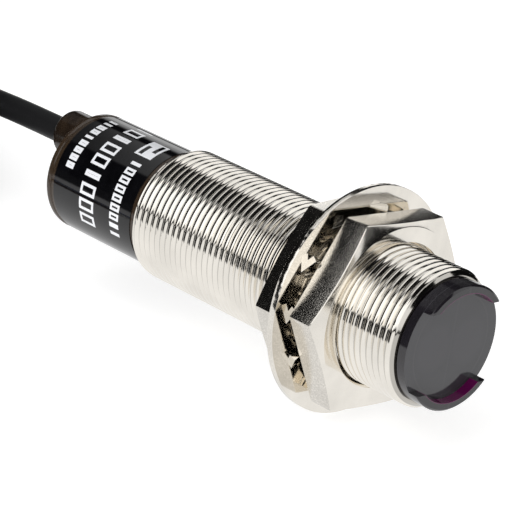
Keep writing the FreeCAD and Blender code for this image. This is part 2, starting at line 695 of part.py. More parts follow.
def cable_route():
    """Free cable from the boss to the top layer of the coil, which it enters on a tangent."""
    exit_x = value(f"{DATUM_X} + {BOSS_REAR} + cable_inset")
    exit_z = value(CABLE_Z)
    layer_z = value("tie_thickness + (coil_layers - 0.5) * cable_dia")
    return [(exit_x, 0, exit_z),
            (-45, 0, exit_z),
            (-53.5, 1.2, 17.7),
            (-61.4, 5, 15.9),
            (value(f"coil_x + {COIL_ENTRY_R} * cos(coil_entry_angle)"),
             value(f"coil_y + {COIL_ENTRY_R} * sin(coil_entry_angle)"), layer_z)]


def make_coil():
    """Outer shape of the coil that the cable's put-away length is wound into."""
    body = new_body("cable_coil")
    drawing = new_sketch(body, "XZ_Plane")
    inner, outer, top, bevel = COIL_INNER_R, COIL_OUTER_R, COIL_TOP, "coil_bevel"
    draw_outline(drawing, [
        (inner, bevel), (f"{inner} + {bevel}", "0"), (f"{outer} - {bevel}", "0"), (outer, bevel),
        (outer, f"{top} - {bevel}"), (f"{outer} - {bevel}", top), (f"{inner} + {bevel}", top),
        (inner, f"{top} - {bevel}")])
    feature = body.newObject("PartDesign::Revolution", "coil_turn")
    feature.Profile = drawing
    feature.ReferenceAxis = (drawing, ["V_Axis"])
    feature.Angle = 360
    return place(body, x="coil_x", y="coil_y", z="0")


def make_coil_tie():
    """Strap round the coil's section, on its far side."""
    body = new_body("coil_tie")
    drawing = new_sketch(body, "XZ_Plane", lift="-tie_width / 2")
    for grow in ("0", "tie_thickness"):
        draw_outline(drawing, [
            (f"-{COIL_OUTER_R} - {grow}", f"tie_thickness - {grow}"),
            (f"-{COIL_INNER_R} + {grow}", f"tie_thickness - {grow}"),
            (f"-{COIL_INNER_R} + {grow}", f"{COIL_TOP} + {grow}"),
            (f"-{COIL_OUTER_R} - {grow}", f"{COIL_TOP} + {grow}")])
    extrude(body, drawing, "tie_width")
    return place(body, x="coil_x", y="coil_y", z="0")


def make_cable_tail():
    """Last of the jacket, leaving the coil's bottom layer on a tangent."""
    x, y, z = coil_exit()
    tail = value("tail_length")
    route = [(x, y, z), (x + tail / 2, y, z), (x + tail, y - value("tail_turn_out"), z)]
    return make_tube("cable_tail", route, "cable_dia")


def coil_exit():
    """Where the cable leaves the coil: the bottom layer's outer turn, on the -Y side."""
    return value("coil_x"), value(f"coil_y - {COIL_ENTRY_R}"), value("cable_dia / 2")


def free_wire_route(side, up):
    """One core from the jacket's end, down to the surface and along its own lane."""
    x, y, z = coil_exit()
    x += value("tail_length")
    y -= value("tail_turn_out")
    spread = value("core_spread / 2")
    rest = value("core_dia / 2 + core_lift")
    lane = side * value("outer_lane" if up > 0 else "inner_lane")
    return [(x, y + side * spread, z + up * spread),
            (x + 4.5, y + side * spread + lane * 0.3 + 0.8, z + up * spread),
            (x + 11, y + lane * 0.8 + 1.8, rest),
            (x + 18, y + lane + 2.2, rest),
            (x + value("core_length"), y + lane + 2.2, rest)]


def make_wire_tips():
    """Tinned strands at the ends of the four cores."""
    tips = []
    for colour, side, up in CORES:
        x, y, z = free_wire_route(side, up)[-1]
        tip = doc.addObject("Part::Cylinder", f"wire_tip_{colour}")
        bind(tip, Radius="strand_dia / 2", Height="strand_length")
        lay_along_barrel(tip)
        tips.append(place(tip, x=str(x), y=str(y), z=str(z)))
    return make_group("wire_tips", tips)


# ---------------------------------------------------------------- the whole sensor
pieces = [
    make_barrel(),
    make_nut("rear_nut", "rear_nut_at", "rear_nut_roll", bevel_front=False),
    make_nut("front_nut", "front_nut_at", "front_nut_roll", bevel_front=True),
    make_lock_washer(),
    make_lens_cap(),
    make_lens_cap_seal(),
    make_lens_holder(),
    make_lens("emitter_lens", "-1"),
    make_lens("receiver_lens", "1"),
    make_domed_chip("emitter_led", "-1", "emitter_base_dia", "emitter_dia", "emitter_height"),
    make_domed_chip("receiver_photodiode", "1", "receiver_base_dia", "receiver_dia",
                    "receiver_height"),
    make_front_board(),
    make_main_board(),
    make_controller(),
    make_row("chip_resistors", 6, "2.4", ("1.6", "0.8", "0.45"), "-1", "3.6"),
    make_row("chip_capacitors", 5, "3.4", ("2", "1.25", "0.9"), "-1", "-4.9"),
    make_row("output_transistor", 1, "0", ("4.5", "2.5", "1.5"), "0.5", "-1.25", under=True),
    make_row("protection_diode", 1, "0", ("4.3", "2.6", "2.2"), "8", "-1.3", under=True),
    make_block("indicator_led", "2", "1.25", "0.8", "-12.6", "3.6", BOARD_TOP),
    make_rear_sleeve(),
    make_label_sleeve(),
    make_rear_cap(),
    make_adjuster_body(),
    make_adjuster_rotor(),
    make_cable_clamp(),
    make_jacket_inside(),
]
pieces += [make_inside_lead(*core) for core in CORES]

cable_tube, tube_length = make_tube("cable_tube", cable_route(), "cable_dia")
cable_tail, tail_length = make_cable_tail()
pieces += [cable_tube, make_coil(), make_coil_tie(), cable_tail, make_wire_tips()]
pieces += [make_tube(f"wire_{colour}", free_wire_route(side, up), "core_dia")[0]
           for colour, side, up in CORES]

coil_length = value("pi * coil_mean_dia * coil_turns_per_layer * coil_layers")
whole_length = tube_length + coil_length + tail_length + value("core_length + strand_length")
print(f"cable: {whole_length:.0f} of {value('cable_length'):.0f} mm, {coil_length:.0f} in the coil")

doc.recompute()
for item in doc.Objects:
    if {"Invalid", "Error"} & set(item.State):
        raise SystemExit(f"{item.Label} failed: {item.State}")
for piece in pieces:
    if piece.Shape.isNull() or not piece.Shape.isValid() or not piece.Shape.Solids:
        raise SystemExit(f"{piece.Label}: no valid solid")
for piece in pieces:
    piece.Shape.exportStep(f"parts/{piece.Label}.step")
print(len(pieces), "sub-parts")
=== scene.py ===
"""A photoelectric sensor in a threaded nickel barrel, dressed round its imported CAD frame.

Sizes are in metres, except where a comment says millimetres.
"""

from math import cos, pi, radians, sin, tan

import bmesh
import bpy
from mathutils import Matrix, Vector


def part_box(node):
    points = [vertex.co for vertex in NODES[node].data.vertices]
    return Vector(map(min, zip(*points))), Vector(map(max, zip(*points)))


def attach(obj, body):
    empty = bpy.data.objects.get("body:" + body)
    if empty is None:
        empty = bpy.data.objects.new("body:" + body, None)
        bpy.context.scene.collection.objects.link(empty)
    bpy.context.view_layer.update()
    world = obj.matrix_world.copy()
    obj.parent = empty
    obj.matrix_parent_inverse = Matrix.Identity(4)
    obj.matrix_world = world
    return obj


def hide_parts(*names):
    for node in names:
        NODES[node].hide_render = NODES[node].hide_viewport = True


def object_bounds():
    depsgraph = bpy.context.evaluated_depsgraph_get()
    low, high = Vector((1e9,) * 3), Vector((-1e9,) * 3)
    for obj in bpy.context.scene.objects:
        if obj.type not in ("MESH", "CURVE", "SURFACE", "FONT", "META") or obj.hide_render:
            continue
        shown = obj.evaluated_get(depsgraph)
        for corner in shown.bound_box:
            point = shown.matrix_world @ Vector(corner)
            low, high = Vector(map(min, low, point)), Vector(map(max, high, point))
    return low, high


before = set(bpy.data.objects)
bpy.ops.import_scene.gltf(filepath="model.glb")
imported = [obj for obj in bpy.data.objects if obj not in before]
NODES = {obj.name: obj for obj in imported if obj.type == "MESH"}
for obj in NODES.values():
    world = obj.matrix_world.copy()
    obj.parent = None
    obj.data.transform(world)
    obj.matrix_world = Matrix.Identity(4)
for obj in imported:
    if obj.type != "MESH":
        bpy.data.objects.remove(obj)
CAD_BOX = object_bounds()
MM = 0.001

# ---- barrel and nuts: sizes read from the frame where the frame has them ----
barrel_low, barrel_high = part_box("housing_barrel")
THREAD_START, THREAD_END = barrel_low.x, barrel_high.x
AXIS_Z = (barrel_low.z + barrel_high.z) / 2
CREST_R = (barrel_high.z - barrel_low.z) / 2
PITCH = 1.0 * MM
THREAD_DEPTH = 0.38 * MM
# from the middle of a crest towards the root: (share of the pitch, share of the depth)
THREAD_FLANK = [(0, 1), (0.11, 1), (0.155, 0.97), (0.195, 0.87), (0.29, 0.5), (0.38, 0.14),
                (0.43, 0.02)]
END_CHAMFER = 0.7 * MM
BORE_R, SEAT_R = 7.3 * MM, 7.6 * MM
FRONT_SEAT, REAR_SEAT = 3.2 * MM, 5.2 * MM
THREAD_STEPS = 144              # columns round one turn of the thread

NUT_FLATS = 24.0 * MM
NUT_BORE_R = 9.05 * MM
NUT_COUNTERSINK = 0.45 * MM
NUT_BEVEL_R = 11.5 * MM
NUT_BEVEL_SLOPE = tan(radians(15))
NUT_EDGE = 0.1 * MM
NUT_CORNERS = 180               # the higher, the crisper a nut's six corners
NUT_STEPS = 360                 # columns round one nut
REAR_NUT_ROLL, FRONT_NUT_ROLL = 30.8, 27.8      # degrees from straight up to a corner

# faces that meet at more than this keep a crisp edge between them
SHARP, NUT_SHARP = radians(38), radians(14)

# CAD nodes whose edges are rounded, each with its bevel's width
SOFT_EDGES = {"lens_cap": 0.08 * MM, "rear_cap": 0.12 * MM, "coil_tie": 0.12 * MM,
              "adjuster_rotor": 0.06 * MM}
WASHER_EDGE = 0.08 * MM
EDGE_ANGLE = radians(30)        # an edge that turns by less stays as it is

# ---- lens cap, smoky sleeve and label ----
LUG_REACH = 1.4 * MM            # from the window out to the lugs' tips
LUG_INNER_R = 7.05 * MM
WINDOW_LINE_R = 6.55 * MM       # faint ring moulded into the window
WELL_Y, WELL_R = 3.1 * MM, 2.4 * MM     # the two wells behind the window, one on each side
SLEEVE_INNER_R, SLEEVE_OUTER_R = 7.3 * MM, 8.05 * MM
FILM_R = 8.15 * MM

# Marks on the film, in millimetres. Places along the barrel are counted from the thread's rear
# end, and places round it from the top towards -Y.
# A row has its place along, height, cell and stroke, and where it starts and stops round the film.
MARK_ROWS = ((-14.2, 1.5, 1.15, 0.42, 0.5, 10.2),
             (-9.6, 2.9, 2.15, 0.42, -1.0, 17.0),
             (-4.0, 1.8, 1.3, 0.36, 5.2, 17.0))
# A box has its place along and round, and its size along and round.
MARK_BOX = (-4.3, 2.6, 3.2, 3.6)
MARK_BARS = ((-5.1, 3.1, 0.7, 2.0), (-3.5, 2.1, 0.7, 2.0))      # dark bars in the box

# ---- camera ----
CAMERA_AIM = Vector((-4.04, 6.99, 10.66)) * MM
CAMERA_DISTANCE = 330 * MM
CAMERA_TURN = 42.873, 19.202, 9.048     # azimuth, elevation and roll, in degrees
SENSOR_WIDTH, FOCAL_LENGTH = 36, 172.7  # Blender takes these two in millimetres

# ---- floor and surroundings ----
FLOOR_HALF = 3.0
FLOOR_DROP = 0.05 * MM          # a hair under the part, so that the two don't flicker
FLOOR_GLOW = 0.72
ANY = (-1, 1)
# What the nickel sees, by direction: brightness, softness of the edges, and the range of x, y, z.
BRIGHT = (
    (1.35, 0.03, (-0.45, 1), (-1, -0.36), (0.12, 0.70)),        # long soft box on the left
    (0.85, 0.03, (-0.18, 0.8), (-1, -0.28), (0.66, 0.90)),      # its upper edge
    (0.9, 0.03, (-0.69, 0.20), (-0.36, 0.42), (0.5, 1)),        # pale ceiling, and behind
    (1.2, 0.05, (-1, -0.62), (0.60, 1), (0.10, 0.55)),          # far wall
    (1.0, 0.02, (0.34, 1), (0.30, 1), (0.20, 0.9)),             # window in front
    (1.2, 0.03, (0.4, 1), (-1, -0.06), (0.06, 0.5)),            # front left
    (0.92, 0.004, ANY, ANY, (-1, -0.005)))                      # table
DARK = (
    (0.97, 0.02, (-1, 0.6), (-1, -0.6), (-0.19, 0.03)),         # the table's edge
    (0.9, 0.01, (-0.612, -0.555), (-0.5, 0.5), (0.4, 1)))       # between two soft boxes
FAINTEST = 0.006                # what the darkest direction still gives


def make_camera():
    """Looks down the barrel from in front, with its own right side tilted up a little."""
    azimuth, elevation, roll = map(radians, CAMERA_TURN)
    forward = Vector((-sin(azimuth) * cos(elevation), cos(azimuth) * cos(elevation),
                      -sin(elevation)))
    level = Vector((cos(azimuth), sin(azimuth), 0))
    upright = level.cross(forward)
    right = level * cos(roll) + upright * sin(roll)
    up = upright * cos(roll) - level * sin(roll)
    camera = bpy.data.objects.new("camera", bpy.data.cameras.new("camera"))
    bpy.context.scene.collection.objects.link(camera)
    camera.data.sensor_width = SENSOR_WIDTH
    camera.data.lens = FOCAL_LENGTH
    camera.data.clip_start, camera.data.clip_end = 0.01, 20
    camera.matrix_world = Matrix.Translation(CAMERA_AIM - forward * CAMERA_DISTANCE) @ Matrix(
        (right, up, -forward)).transposed().to_4x4()
    bpy.context.scene.camera = camera


# ---- materials: small helpers, then one function for each finish ----
def fill(tree, socket, value):
    """Links value to socket if it is a socket itself, and otherwise sets it."""
    if isinstance(value, bpy.types.NodeSocket):
        tree.links.new(value, socket)
    elif isinstance(value, (tuple, list)) and len(value) == 3 and socket.type == "RGBA":
        socket.default_value = (*value, 1.0)
    else:
        socket.default_value = value


def add_node(tree, kind, inputs=None, output=0, **settings):
    """Adds a node with its settings and inputs, and gives back one of its outputs."""
    node = tree.nodes.new(kind)
    for name, value in settings.items():
        setattr(node, name, value)
    for key, value in (inputs or {}).items():
        fill(tree, node.inputs[key], value)
    return node.outputs[output]


def darker(colour, share, lift=0.0):
    """The colour at a share of its strength, with lift added to it."""
    return tuple(share * channel + lift for channel in colour)


class Paint:
    """A material's node tree, with short ways to add nodes to it."""

    def __init__(self, name, **surface):
        self.material = bpy.data.materials.new(name)
        self.material.use_nodes = True
        self.tree = self.material.node_tree
        self.surface = self.tree.nodes["Principled BSDF"]
        for socket, value in surface.items():
            self.set(socket.replace("_", " "), value)

    def set(self, socket, value):
        """Sets one of the surface's own sockets."""
        fill(self.tree, self.surface.inputs[socket], value)

    def node(self, kind, inputs=None, output=0, **settings):
        return add_node(self.tree, kind, inputs, output, **settings)

    def math(self, operation, *values):
        return self.node("ShaderNodeMath", dict(enumerate(values)), operation=operation)

    def square(self, value):
        return self.math("MULTIPLY", value, value)

    def away(self, value, middle):
        """How far value is from middle, either way."""
        return self.math("ABSOLUTE", self.math("SUBTRACT", value, middle))

    def place(self):
        """The point on the surface, in the frame's own metres."""
        return self.node("ShaderNodeTexCoord", output="Object")

    def xyz(self, point):
        split = self.tree.nodes.new("ShaderNodeSeparateXYZ")
        self.tree.links.new(point, split.inputs[0])
        return split.outputs

    def round_axis(self):
        """The point's x, y, height over the barrel's axis, and distance from that axis."""
        x, y, z = self.xyz(self.place())
        height = self.math("SUBTRACT", z, AXIS_Z)
        reach = self.math("SQRT", self.math("ADD", self.square(y), self.square(height)))
        return x, y, height, reach

    def noise(self, size, detail=3.0, roughness=0.5):
        """Noise from 0 to 1 whose lumps are about size metres across."""
        return self.node("ShaderNodeTexNoise", {"Vector": self.place(), "Scale": 1 / size,
                                                "Detail": detail, "Roughness": roughness})

    def remap(self, value, low, high, to_low=0.0, to_high=1.0):
        """value from low to high becomes to_low to to_high, and goes no further."""
        return self.node("ShaderNodeMapRange", {"Value": value, "From Min": low, "From Max": high,
                                                "To Min": to_low, "To Max": to_high})

    def mix(self, share, first, second):
        """A colour between first and second."""
        return self.node("ShaderNodeMix", {0: share, 6: first, 7: second}, output=2,
                         data_type="RGBA")

    def bump(self, height, depth, normal=None):
        inputs = {"Strength": 1.0, "Distance": depth, "Height": height}
        if normal is not None:
            inputs["Normal"] = normal
        return self.node("ShaderNodeBump", inputs)


def make_nickel(name, tint, rough, pits=0.0, groove_shade=False):
    """Bright plate: a tint that wanders, faint ripples, pits in the sides, and painted shade in the
    thread's grooves.
    """
    paint = Paint(name, Metallic=1.0)
    blotch = paint.noise(5 * MM, 4)
    colour = paint.mix(paint.remap(blotch, 0.35, 0.7), tint, darker(tint, 0.88))
    smear = paint.noise(1.4 * MM, 5, 0.6)
    gloss = paint.remap(smear, 0.3, 0.7, 0.7 * rough, 1.3 * rough)
    fine = paint.noise(0.16 * MM, 2)
    height = paint.math("MULTIPLY", fine, 0.1)
    # painted shade: the colour darkens towards the thread's root, where shade falls between the
    # flanks
    if groove_shade:
        reach = paint.round_axis()[3]
        groove = paint.remap(reach, CREST_R - 0.75 * THREAD_DEPTH, CREST_R - THREAD_DEPTH,
                             0.0, 0.6)
        colour = paint.mix(groove, colour, darker(tint, 0.3))
    if pits:
        normal = paint.node("ShaderNodeTexCoord", output="Normal")
        side = paint.remap(paint.math("ABSOLUTE", paint.xyz(normal)[0]), 0.5, 0.2)
        speck = paint.math("MULTIPLY", side, paint.remap(fine, 0.62, 0.48))
        colour = paint.mix(paint.math("MULTIPLY", speck, 0.75 * pits), colour, darker(tint, 0.25))
        gloss = paint.math("ADD", gloss, paint.math("MULTIPLY", side, 0.12 * pits))
        height = paint.math("ADD", height, paint.math("MULTIPLY", speck, -0.6 * pits))
    paint.set("Base Color", colour)
    paint.set("Roughness", gloss)
    ripple = paint.bump(paint.noise(2.2 * MM, 2), 0.003 * MM)
    paint.set("Normal", paint.bump(height, 0.01 * MM, normal=ripple))
    return paint.material


def make_plastic(name, colour, rough=0.35, grain=0.3 * MM, depth=0.01 * MM, **surface):
    """Moulded plastic with a fine grain, and a colour and a gloss that wander a little."""
    paint = Paint(name, **surface)
    patches = paint.remap(paint.noise(5 * MM, 4), 0.3, 0.7)
    paint.set("Base Color", paint.mix(patches, colour, darker(colour, 0.72, 0.003)))
    fine = paint.noise(grain, 3)
    paint.set("Roughness", paint.remap(fine, 0.3, 0.7, 0.85 * rough, 1.15 * rough))
    paint.set("Normal", paint.bump(fine, depth))
    return paint.material


def make_smoky(name):
    """Smoky brown see-through plastic, lighter in patches and where it is thin at the rim."""
    paint = Paint(name, IOR=1.52, Transmission_Weight=0.45)
    reach = paint.round_axis()[3]
    thin = paint.remap(reach, SLEEVE_INNER_R, SLEEVE_OUTER_R, 0.0, 0.8)
    patches = paint.remap(paint.noise(3 * MM, 4), 0.4, 0.7, 0.0, 0.6)
    paint.set("Base Color", paint.mix(paint.math("MAXIMUM", thin, patches),
                                      (0.020, 0.013, 0.009), (0.085, 0.056, 0.034)))
    fine = paint.noise(0.5 * MM, 3)
    paint.set("Roughness", paint.remap(fine, 0.3, 0.7, 0.08, 0.16))
    paint.set("Normal", paint.bump(fine, 0.004 * MM))
    return paint.material


def make_ir_plastic(name):
    """Infrared-pass plastic: near black, with a grey polished window and violet inside its lugs."""
    paint = Paint(name, IOR=1.62)
    x, y, height, reach = paint.round_axis()
    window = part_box("lens_cap")[1].x - LUG_REACH
    in_front = paint.remap(x, window + 0.03 * MM, window + 0.1 * MM)
    inside = paint.remap(reach, LUG_INNER_R + 0.07 * MM, LUG_INNER_R)
    violet = paint.math("MULTIPLY", in_front, inside)
    side = paint.math("ABSOLUTE", y)
    well = paint.math("SQRT", paint.math("ADD", paint.square(height),
                                         paint.square(paint.math("SUBTRACT", side, WELL_Y))))
    glow = paint.remap(well, WELL_R, WELL_R + 1.0 * MM, 0.4, 0.0)
    wall = paint.remap(side, 0.08 * MM, 0.2 * MM, 0.15, 0.0)
    ring = paint.remap(paint.away(reach, WINDOW_LINE_R), 0.06 * MM, 0.16 * MM, 0.25, 0.0)
    face = paint.remap(paint.away(x, window), 0.05 * MM, 0.02 * MM, 0.0, 0.7)
    black = paint.mix(paint.remap(paint.noise(3 * MM, 3), 0.3, 0.7), (0.010, 0.009, 0.011),
                      (0.016, 0.014, 0.018))
    for share, colour in ((glow, (0.05, 0.045, 0.055)), (wall, (0.09, 0.085, 0.09)),
                          (ring, (0.09, 0.085, 0.09)), (face, (0.045, 0.045, 0.050)),
                          (violet, (0.09, 0.002, 0.055))):
        black = paint.mix(share, black, colour)
    paint.set("Base Color", black)
    fine = paint.noise(0.25 * MM, 3)
    paint.set("Roughness", paint.remap(fine, 0.3, 0.7, 0.06, 0.14))
    paint.set("Normal", paint.bump(fine, 0.002 * MM))
    return paint.material


def mark_box(paint, along, arc, centre, middle, length, width):
    """1 inside a rectangle on the film, 0 outside it."""
    return paint.math("MULTIPLY", paint.math("LESS_THAN", paint.away(along, centre), length / 2),
                      paint.math("LESS_THAN", paint.away(arc, middle), width / 2))


def mark_row(paint, along, arc, centre, height, cell, stroke, start, stop):
    """A row of outlined boxes and bars round the film, one to a cell, in no script."""
    places = paint.math("DIVIDE", arc, cell)
    index = paint.math("FLOOR", places)
    chance = paint.node("ShaderNodeTexWhiteNoise", {"W": index}, noise_dimensions="1D")
    half = paint.remap(chance, 0.3, 0.5, 0.2 * cell, 0.38 * cell)
    across = paint.math("MULTIPLY", paint.away(paint.math("FRACT", places), 0.5), cell)
    edge = paint.math("MAXIMUM", paint.math("SUBTRACT", across, half),
                      paint.math("SUBTRACT", paint.away(along, centre), height / 2))
    line = paint.math("MULTIPLY", paint.math("LESS_THAN", edge, 0.0),
                      paint.math("GREATER_THAN", edge, -stroke))
    kept = paint.math("MULTIPLY", paint.math("GREATER_THAN", arc, start),
                      paint.math("LESS_THAN", arc, stop))
    return paint.math("MULTIPLY", line, kept)


def make_label(name):
    """Glossy black film with rows of plain white marks round it."""
    paint = Paint(name, IOR=1.5)
    x, y, height, _ = paint.round_axis()
    turn = paint.math("ARCTAN2", paint.math("MULTIPLY", y, -1.0), height)
    arc = paint.math("MULTIPLY", turn, FILM_R)
    along = paint.math("SUBTRACT", x, THREAD_START)

    def drawn(mark, sizes):
        return mark(paint, along, arc, *(size * MM for size in sizes))

    bars = paint.math("ADD", *(drawn(mark_box, bar) for bar in MARK_BARS))
    marks = paint.math("SUBTRACT", drawn(mark_box, MARK_BOX), bars)
    for row in MARK_ROWS:
        marks = paint.math("MAXIMUM", marks, drawn(mark_row, row))
    ink = paint.mix(paint.remap(paint.noise(2 * MM, 3), 0.3, 0.7), (0.002, 0.002, 0.0025),
                    (0.004, 0.004, 0.005))
    paint.set("Base Color", paint.mix(marks, ink, (0.86, 0.87, 0.90)))
    fine = paint.noise(0.4 * MM, 3)
    paint.set("Roughness", paint.remap(fine, 0.3, 0.7, 0.05, 0.1))
    relief = paint.math("ADD", marks, paint.math("MULTIPLY", fine, 0.2))
    paint.set("Normal", paint.bump(relief, 0.006 * MM))
    return paint.material


def make_board(name):
    """Green board with darker tracks under its solder mask."""
    paint = Paint(name, Roughness=0.4)
    tracks = paint.node("ShaderNodeTexVoronoi", {"Vector": paint.place(), "Scale": 1 / (1.1 * MM)},
                        distance="MANHATTAN", feature="DISTANCE_TO_EDGE")
    paint.set("Base Color", paint.mix(paint.remap(tracks, 0.02, 0.06), (0.02, 0.11, 0.05),
                                      (0.008, 0.055, 0.024)))
    paint.set("Normal", paint.bump(tracks, 0.01 * MM))
    return paint.material


def make_clear(name, tint, rough=0.06, through=0.9):
    """Clear moulded resin with faint flow marks."""
    paint = Paint(name, IOR=1.5, Transmission_Weight=through)
    flow = paint.noise(1.5 * MM, 3)
    paint.set("Base Color", paint.mix(paint.remap(flow, 0.3, 0.7), tint, darker(tint, 0.85)))
    paint.set("Roughness", paint.remap(flow, 0.3, 0.7, rough, 1.6 * rough))
    return paint.material


FINISHES = {
    # the barrel's nickel has painted shade in its thread's grooves
    "nickel_barrel": make_nickel("barrel_nickel", (0.92, 0.88, 0.81), 0.07, groove_shade=True),
    "nickel_nut": make_nickel("nut_nickel", (0.90, 0.86, 0.79), 0.1, pits=0.4),
    "nickel_washer": make_nickel("washer_nickel", (0.90, 0.86, 0.79), 0.1, pits=0.2),
    "ir_plastic": make_ir_plastic("ir_pass_plastic"),
    "seal_rubber": make_plastic("seal_nitrile", (0.012, 0.012, 0.012), 0.6),
    "black_plastic": make_plastic("holder_black", (0.015, 0.015, 0.016), 0.5),
    "clear_lens": make_clear("lens_resin", (0.95, 0.96, 0.97)),
    "emitter_epoxy": make_clear("emitter_epoxy", (0.75, 0.80, 0.95), 0.1, 0.7),
    "receiver_epoxy": make_clear("receiver_epoxy", (0.10, 0.03, 0.06), 0.12, 0.4),
    "board_laminate": make_board("board_green"),
    "chip_case": make_plastic("chip_black", (0.02, 0.02, 0.021), 0.55, 0.1 * MM),
    "chip_ceramic": make_plastic("chip_tan", (0.42, 0.30, 0.19), 0.4, 0.1 * MM),
    "led_epoxy": make_clear("led_red", (0.75, 0.05, 0.03), 0.1, 0.6),
    "smoky_plastic": make_smoky("smoky_brown"),
    "label_film": make_label("label_print"),
    "adjuster_case": make_plastic("trimmer_blue", (0.03, 0.10, 0.35), 0.4),
    "screw_brass": make_nickel("screw_brass", (0.88, 0.66, 0.30), 0.22),
    "clamp_steel": make_nickel("clamp_steel", (0.62, 0.62, 0.62), 0.3),
    "cable_jacket": make_plastic("jacket_black", (0.006, 0.006, 0.007), 0.5, 0.18 * MM,
                                 0.012 * MM, IOR=1.38),
    "strap_plastic": make_plastic("strap_white", (0.75, 0.75, 0.73), 0.45),
    "core_brown": make_plastic("core_brown", (0.17, 0.065, 0.025), 0.35),
    "core_blue": make_plastic("core_blue", (0.02, 0.09, 0.42), 0.35),
    "core_black": make_plastic("core_black", (0.014, 0.014, 0.015), 0.35),
    "core_white": make_plastic("core_white", (0.80, 0.80, 0.78), 0.35),
    "tinned_copper": make_nickel("tinned_copper", (0.80, 0.78, 0.74), 0.22),
}


# ---- pieces ----
def finish_piece(obj, body, slot, *nodes):
    """Gives a new piece its material, its body and the CAD nodes that it stands for."""
    obj.data.materials.append(FINISHES[slot])
    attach(obj, body)
    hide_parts(*nodes)


def mesh_object(name, points, faces, sharp=SHARP):
    """A welded mesh with smooth faces and crisp edges."""
    mesh = bpy.data.meshes.new(name)
    mesh.from_pydata(points, [], faces)
    work = bmesh.new()
    work.from_mesh(mesh)
    bmesh.ops.remove_doubles(work, verts=work.verts, dist=1e-7)
    bmesh.ops.recalc_face_normals(work, faces=work.faces)
    work.to_mesh(mesh)
    work.free()
    mesh.polygons.foreach_set("use_smooth", [True] * len(mesh.polygons))
    mesh.set_sharp_from_angle(angle=sharp)
    obj = bpy.data.objects.new(name, mesh)
    bpy.context.scene.collection.objects.link(obj)
    return obj


def on_barrel(x, radius, turn):
    """The point at x whose angle from straight up, towards -Y, is turn."""
    return (float(x), float(-radius * sin(turn)), float(AXIS_Z + radius * cos(turn)))


def add_turned(points, faces, outline, steps, closed=True, start=0.0):
    """Turns outline(angle), a list of (x, radius), about the barrel and adds its surface."""
    first = len(points)
    for step in range(steps):
        angle = start + 2 * pi * step / steps
        line = outline(angle)
        points.extend(on_barrel(x, radius, angle) for x, radius in line)
    count = len(line)
    for step in range(steps):
        here, there = first + step * count, first + (step + 1) % steps * count
        for row in range(count if closed else count - 1):
            after = (row + 1) % count
            faces.append((here + row, here + after, there + after, there + row))


def thread_heights():
    """(place, height) over one pitch from root to root, with the crest's middle at place 0."""
    other = [(-place, height) for place, height in THREAD_FLANK[:0:-1]]
    return [(-0.5, 0)] + other + THREAD_FLANK


def make_barrel():
    """The barrel with its real right-hand M18 x 1 helix, end chamfers, bore and seats."""
    profile = thread_heights()
    end_r = CREST_R - END_CHAMFER
    turns = round((THREAD_END - THREAD_START) / PITCH) + 2
    rows = [(turn + place, height) for turn in range(turns) for place, height in profile]
    points, faces = [], []
    for step in range(THREAD_STEPS):
        angle = 2 * pi * step / THREAD_STEPS
        for place, height in rows:
            x = THREAD_START + PITCH * (place - 1 + step / THREAD_STEPS)
            x = min(max(x, THREAD_START), THREAD_END)
            radius = min(CREST_R - THREAD_DEPTH * (1 - height), end_r + x - THREAD_START,
                         end_r + THREAD_END - x)
            points.append(on_barrel(x, radius, angle))
    count = len(rows)
    for step in range(THREAD_STEPS):
        last = step == THREAD_STEPS - 1         # the last column meets the first a pitch further on
        shift = len(profile) if last else 0
        other = 0 if last else (step + 1) * count
        for row in range(count - 1 - shift):
            here = step * count + row
            there = other + row + shift
            faces.append((here, here + 1, there + 1, there))
    inside = [(THREAD_END, end_r), (THREAD_END, SEAT_R), (THREAD_END - FRONT_SEAT, SEAT_R),
              (THREAD_END - FRONT_SEAT, BORE_R), (THREAD_START + REAR_SEAT, BORE_R),
              (THREAD_START + REAR_SEAT, SEAT_R), (THREAD_START, SEAT_R), (THREAD_START, end_r)]
    add_turned(points, faces, lambda turn: inside, THREAD_STEPS, closed=False)
    obj = mesh_object("threaded_barrel", points, faces)
    finish_piece(obj, "root", "nickel_barrel", "housing_barrel")


def make_nut(name, node, body, roll, bevel):
    """A hexagon nut with worn corners, a bevelled side and countersunk mouths.

    The bevelled side is the front one where bevel is 1, and the rear one where it is -1.
    """
    low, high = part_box(node)
    thick = high.x - low.x
    plain = low.x if bevel > 0 else high.x
    mouth = NUT_BORE_R + NUT_COUNTERSINK
    edge = NUT_EDGE

    def outline(angle):
        parts = [max(0.0, cos(angle - radians(roll + 30 + 60 * side))) for side in range(6)]
        rim = NUT_FLATS / 2 * sum(part ** NUT_CORNERS for part in parts) ** (-1 / NUT_CORNERS)
        shoulder = thick - (rim - NUT_BEVEL_R) * NUT_BEVEL_SLOPE
        line = [(NUT_COUNTERSINK, NUT_BORE_R), (0, mouth), (0, rim - edge),
                (0.3 * edge, rim - 0.3 * edge), (edge, rim), (shoulder - 0.8 * edge, rim),
                (shoulder - 0.1 * edge, rim - 0.1 * edge),
                (shoulder + 0.5 * edge, rim - 0.9 * edge),
                (thick - edge / 4, NUT_BEVEL_R + edge / 4), (thick, NUT_BEVEL_R - edge / 2),
                (thick, mouth), (thick - NUT_COUNTERSINK, NUT_BORE_R)]
        return [(plain + bevel * depth, radius) for depth, radius in line]

    points, faces = [], []
    add_turned(points, faces, outline, NUT_STEPS, start=radians(roll))
    finish_piece(mesh_object(name, points, faces, NUT_SHARP), body, "nickel_nut", node)


